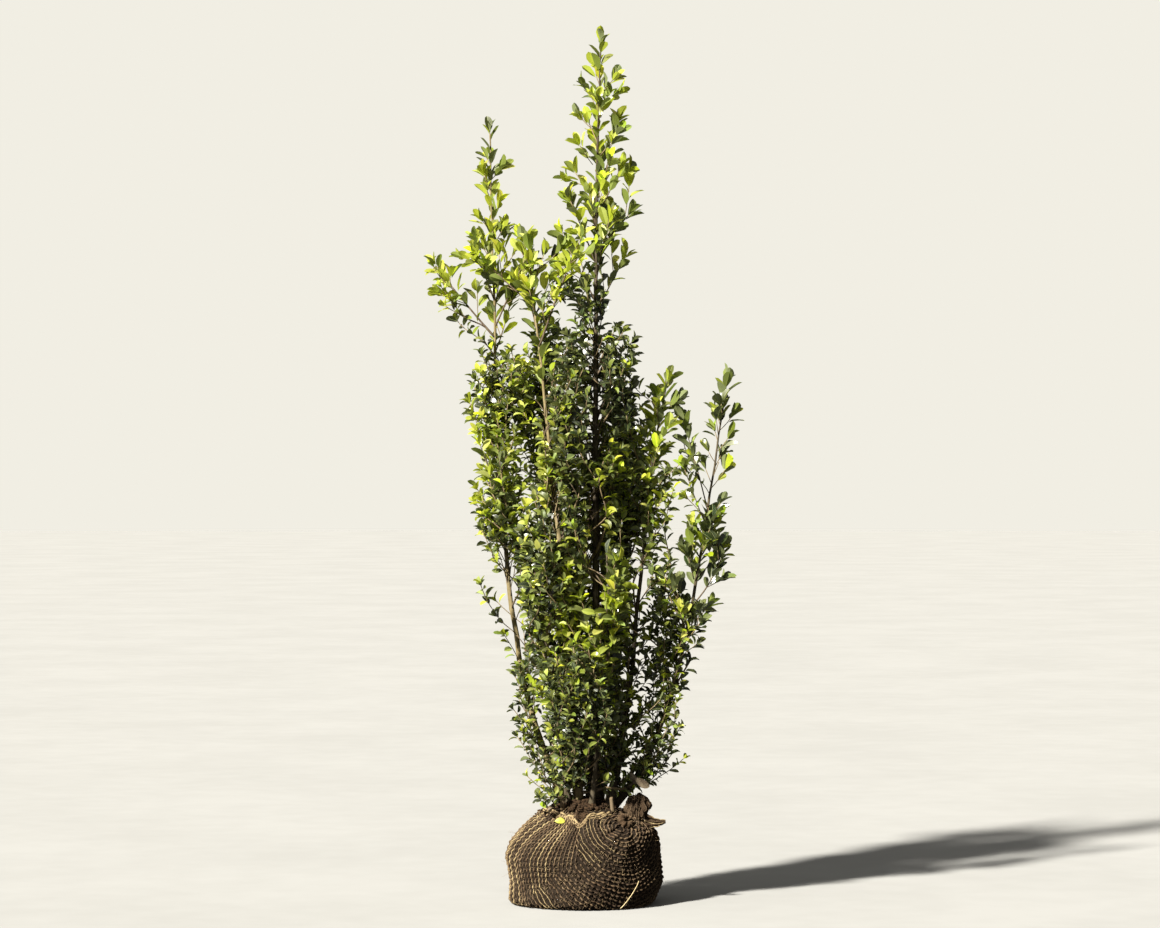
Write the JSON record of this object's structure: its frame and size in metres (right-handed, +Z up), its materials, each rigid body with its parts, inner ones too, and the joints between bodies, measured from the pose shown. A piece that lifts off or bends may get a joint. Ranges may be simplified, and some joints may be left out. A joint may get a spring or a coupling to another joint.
{
  "type": "sapling with root ball",
  "caption": "Young evergreen holly shrub about 2 m tall: upright stems from a hessian-wrapped root ball, leafy to the cloth, with fresh yellow-green tips.",
  "frame": {"origin": "middle of the flat underside of the root ball, on the level surface that the plant stands on", "axes": "+Z up along the stems, -Y towards the front of the plant, +X to the right seen from the front"},
  "size_m": [0.7278, 0.4532, 1.998],
  "materials": {
    "hessian_ball": "damp dark soil packed in open-weave golden-brown jute hessian",
    "hessian": "coarse golden-brown jute hessian, gathered and knotted",
    "soil": "damp dark soil, matt and crumbly",
    "old_bark": "smooth dark grey-brown bark with pale flecks, matt",
    "young_bark": "smooth olive-brown young bark, slightly satin",
    "cut_wood": "sawn end of a pruned stem, tan wood with brown bark",
    "deep_foliage": "glossy deep green leaves with paler grey-green undersides",
    "fresh_foliage": "soft young leaves, bright yellow-green, lightly glossy"
  },
  "bodies": {
    "root": {"root_ball": "hessian_ball", "leader_stem": "old_bark", "west_inner_stem": "young_bark", "west_outer_stem": "young_bark", "west_low_stem": "old_bark", "east_outer_stem": "old_bark", "east_inner_stem": "old_bark", "front_stem": "old_bark", "back_west_stem": "old_bark", "back_east_stem": "old_bark", "west_stub": "cut_wood", "east_stub": "cut_wood", "soil_heap": "soil", "cloth_bunch": "hessian", "cloth_ear": "hessian", "cloth_knot": "hessian", "leader_tip": "fresh_foliage", "leader_crown": "fresh_foliage", "west_tip": "fresh_foliage", "west_fan": "fresh_foliage", "west_outlier": "fresh_foliage", "west_inner_top": "fresh_foliage", "centre_shoulder": "deep_foliage", "east_tip": "fresh_foliage", "east_twin_tip": "fresh_foliage", "east_inner_tip": "deep_foliage", "east_shoulder": "deep_foliage", "east_fan": "deep_foliage", "west_flank_top": "deep_foliage", "west_flank_middle": "deep_foliage", "west_sprig": "deep_foliage", "west_flank_low": "deep_foliage", "heart_crown": "deep_foliage", "heart_upper": "deep_foliage", "heart_middle": "deep_foliage", "heart_low": "deep_foliage", "front_shoots": "fresh_foliage", "front_upper": "deep_foliage", "front_middle": "deep_foliage", "front_low": "deep_foliage", "back_west_top": "deep_foliage", "back_east_top": "deep_foliage", "back_middle": "deep_foliage", "back_low": "deep_foliage", "east_low": "deep_foliage", "east_skirt": "deep_foliage", "east_sprig": "deep_foliage", "west_skirt": "deep_foliage", "west_foot": "deep_foliage"}
  },
  "joints": []
}
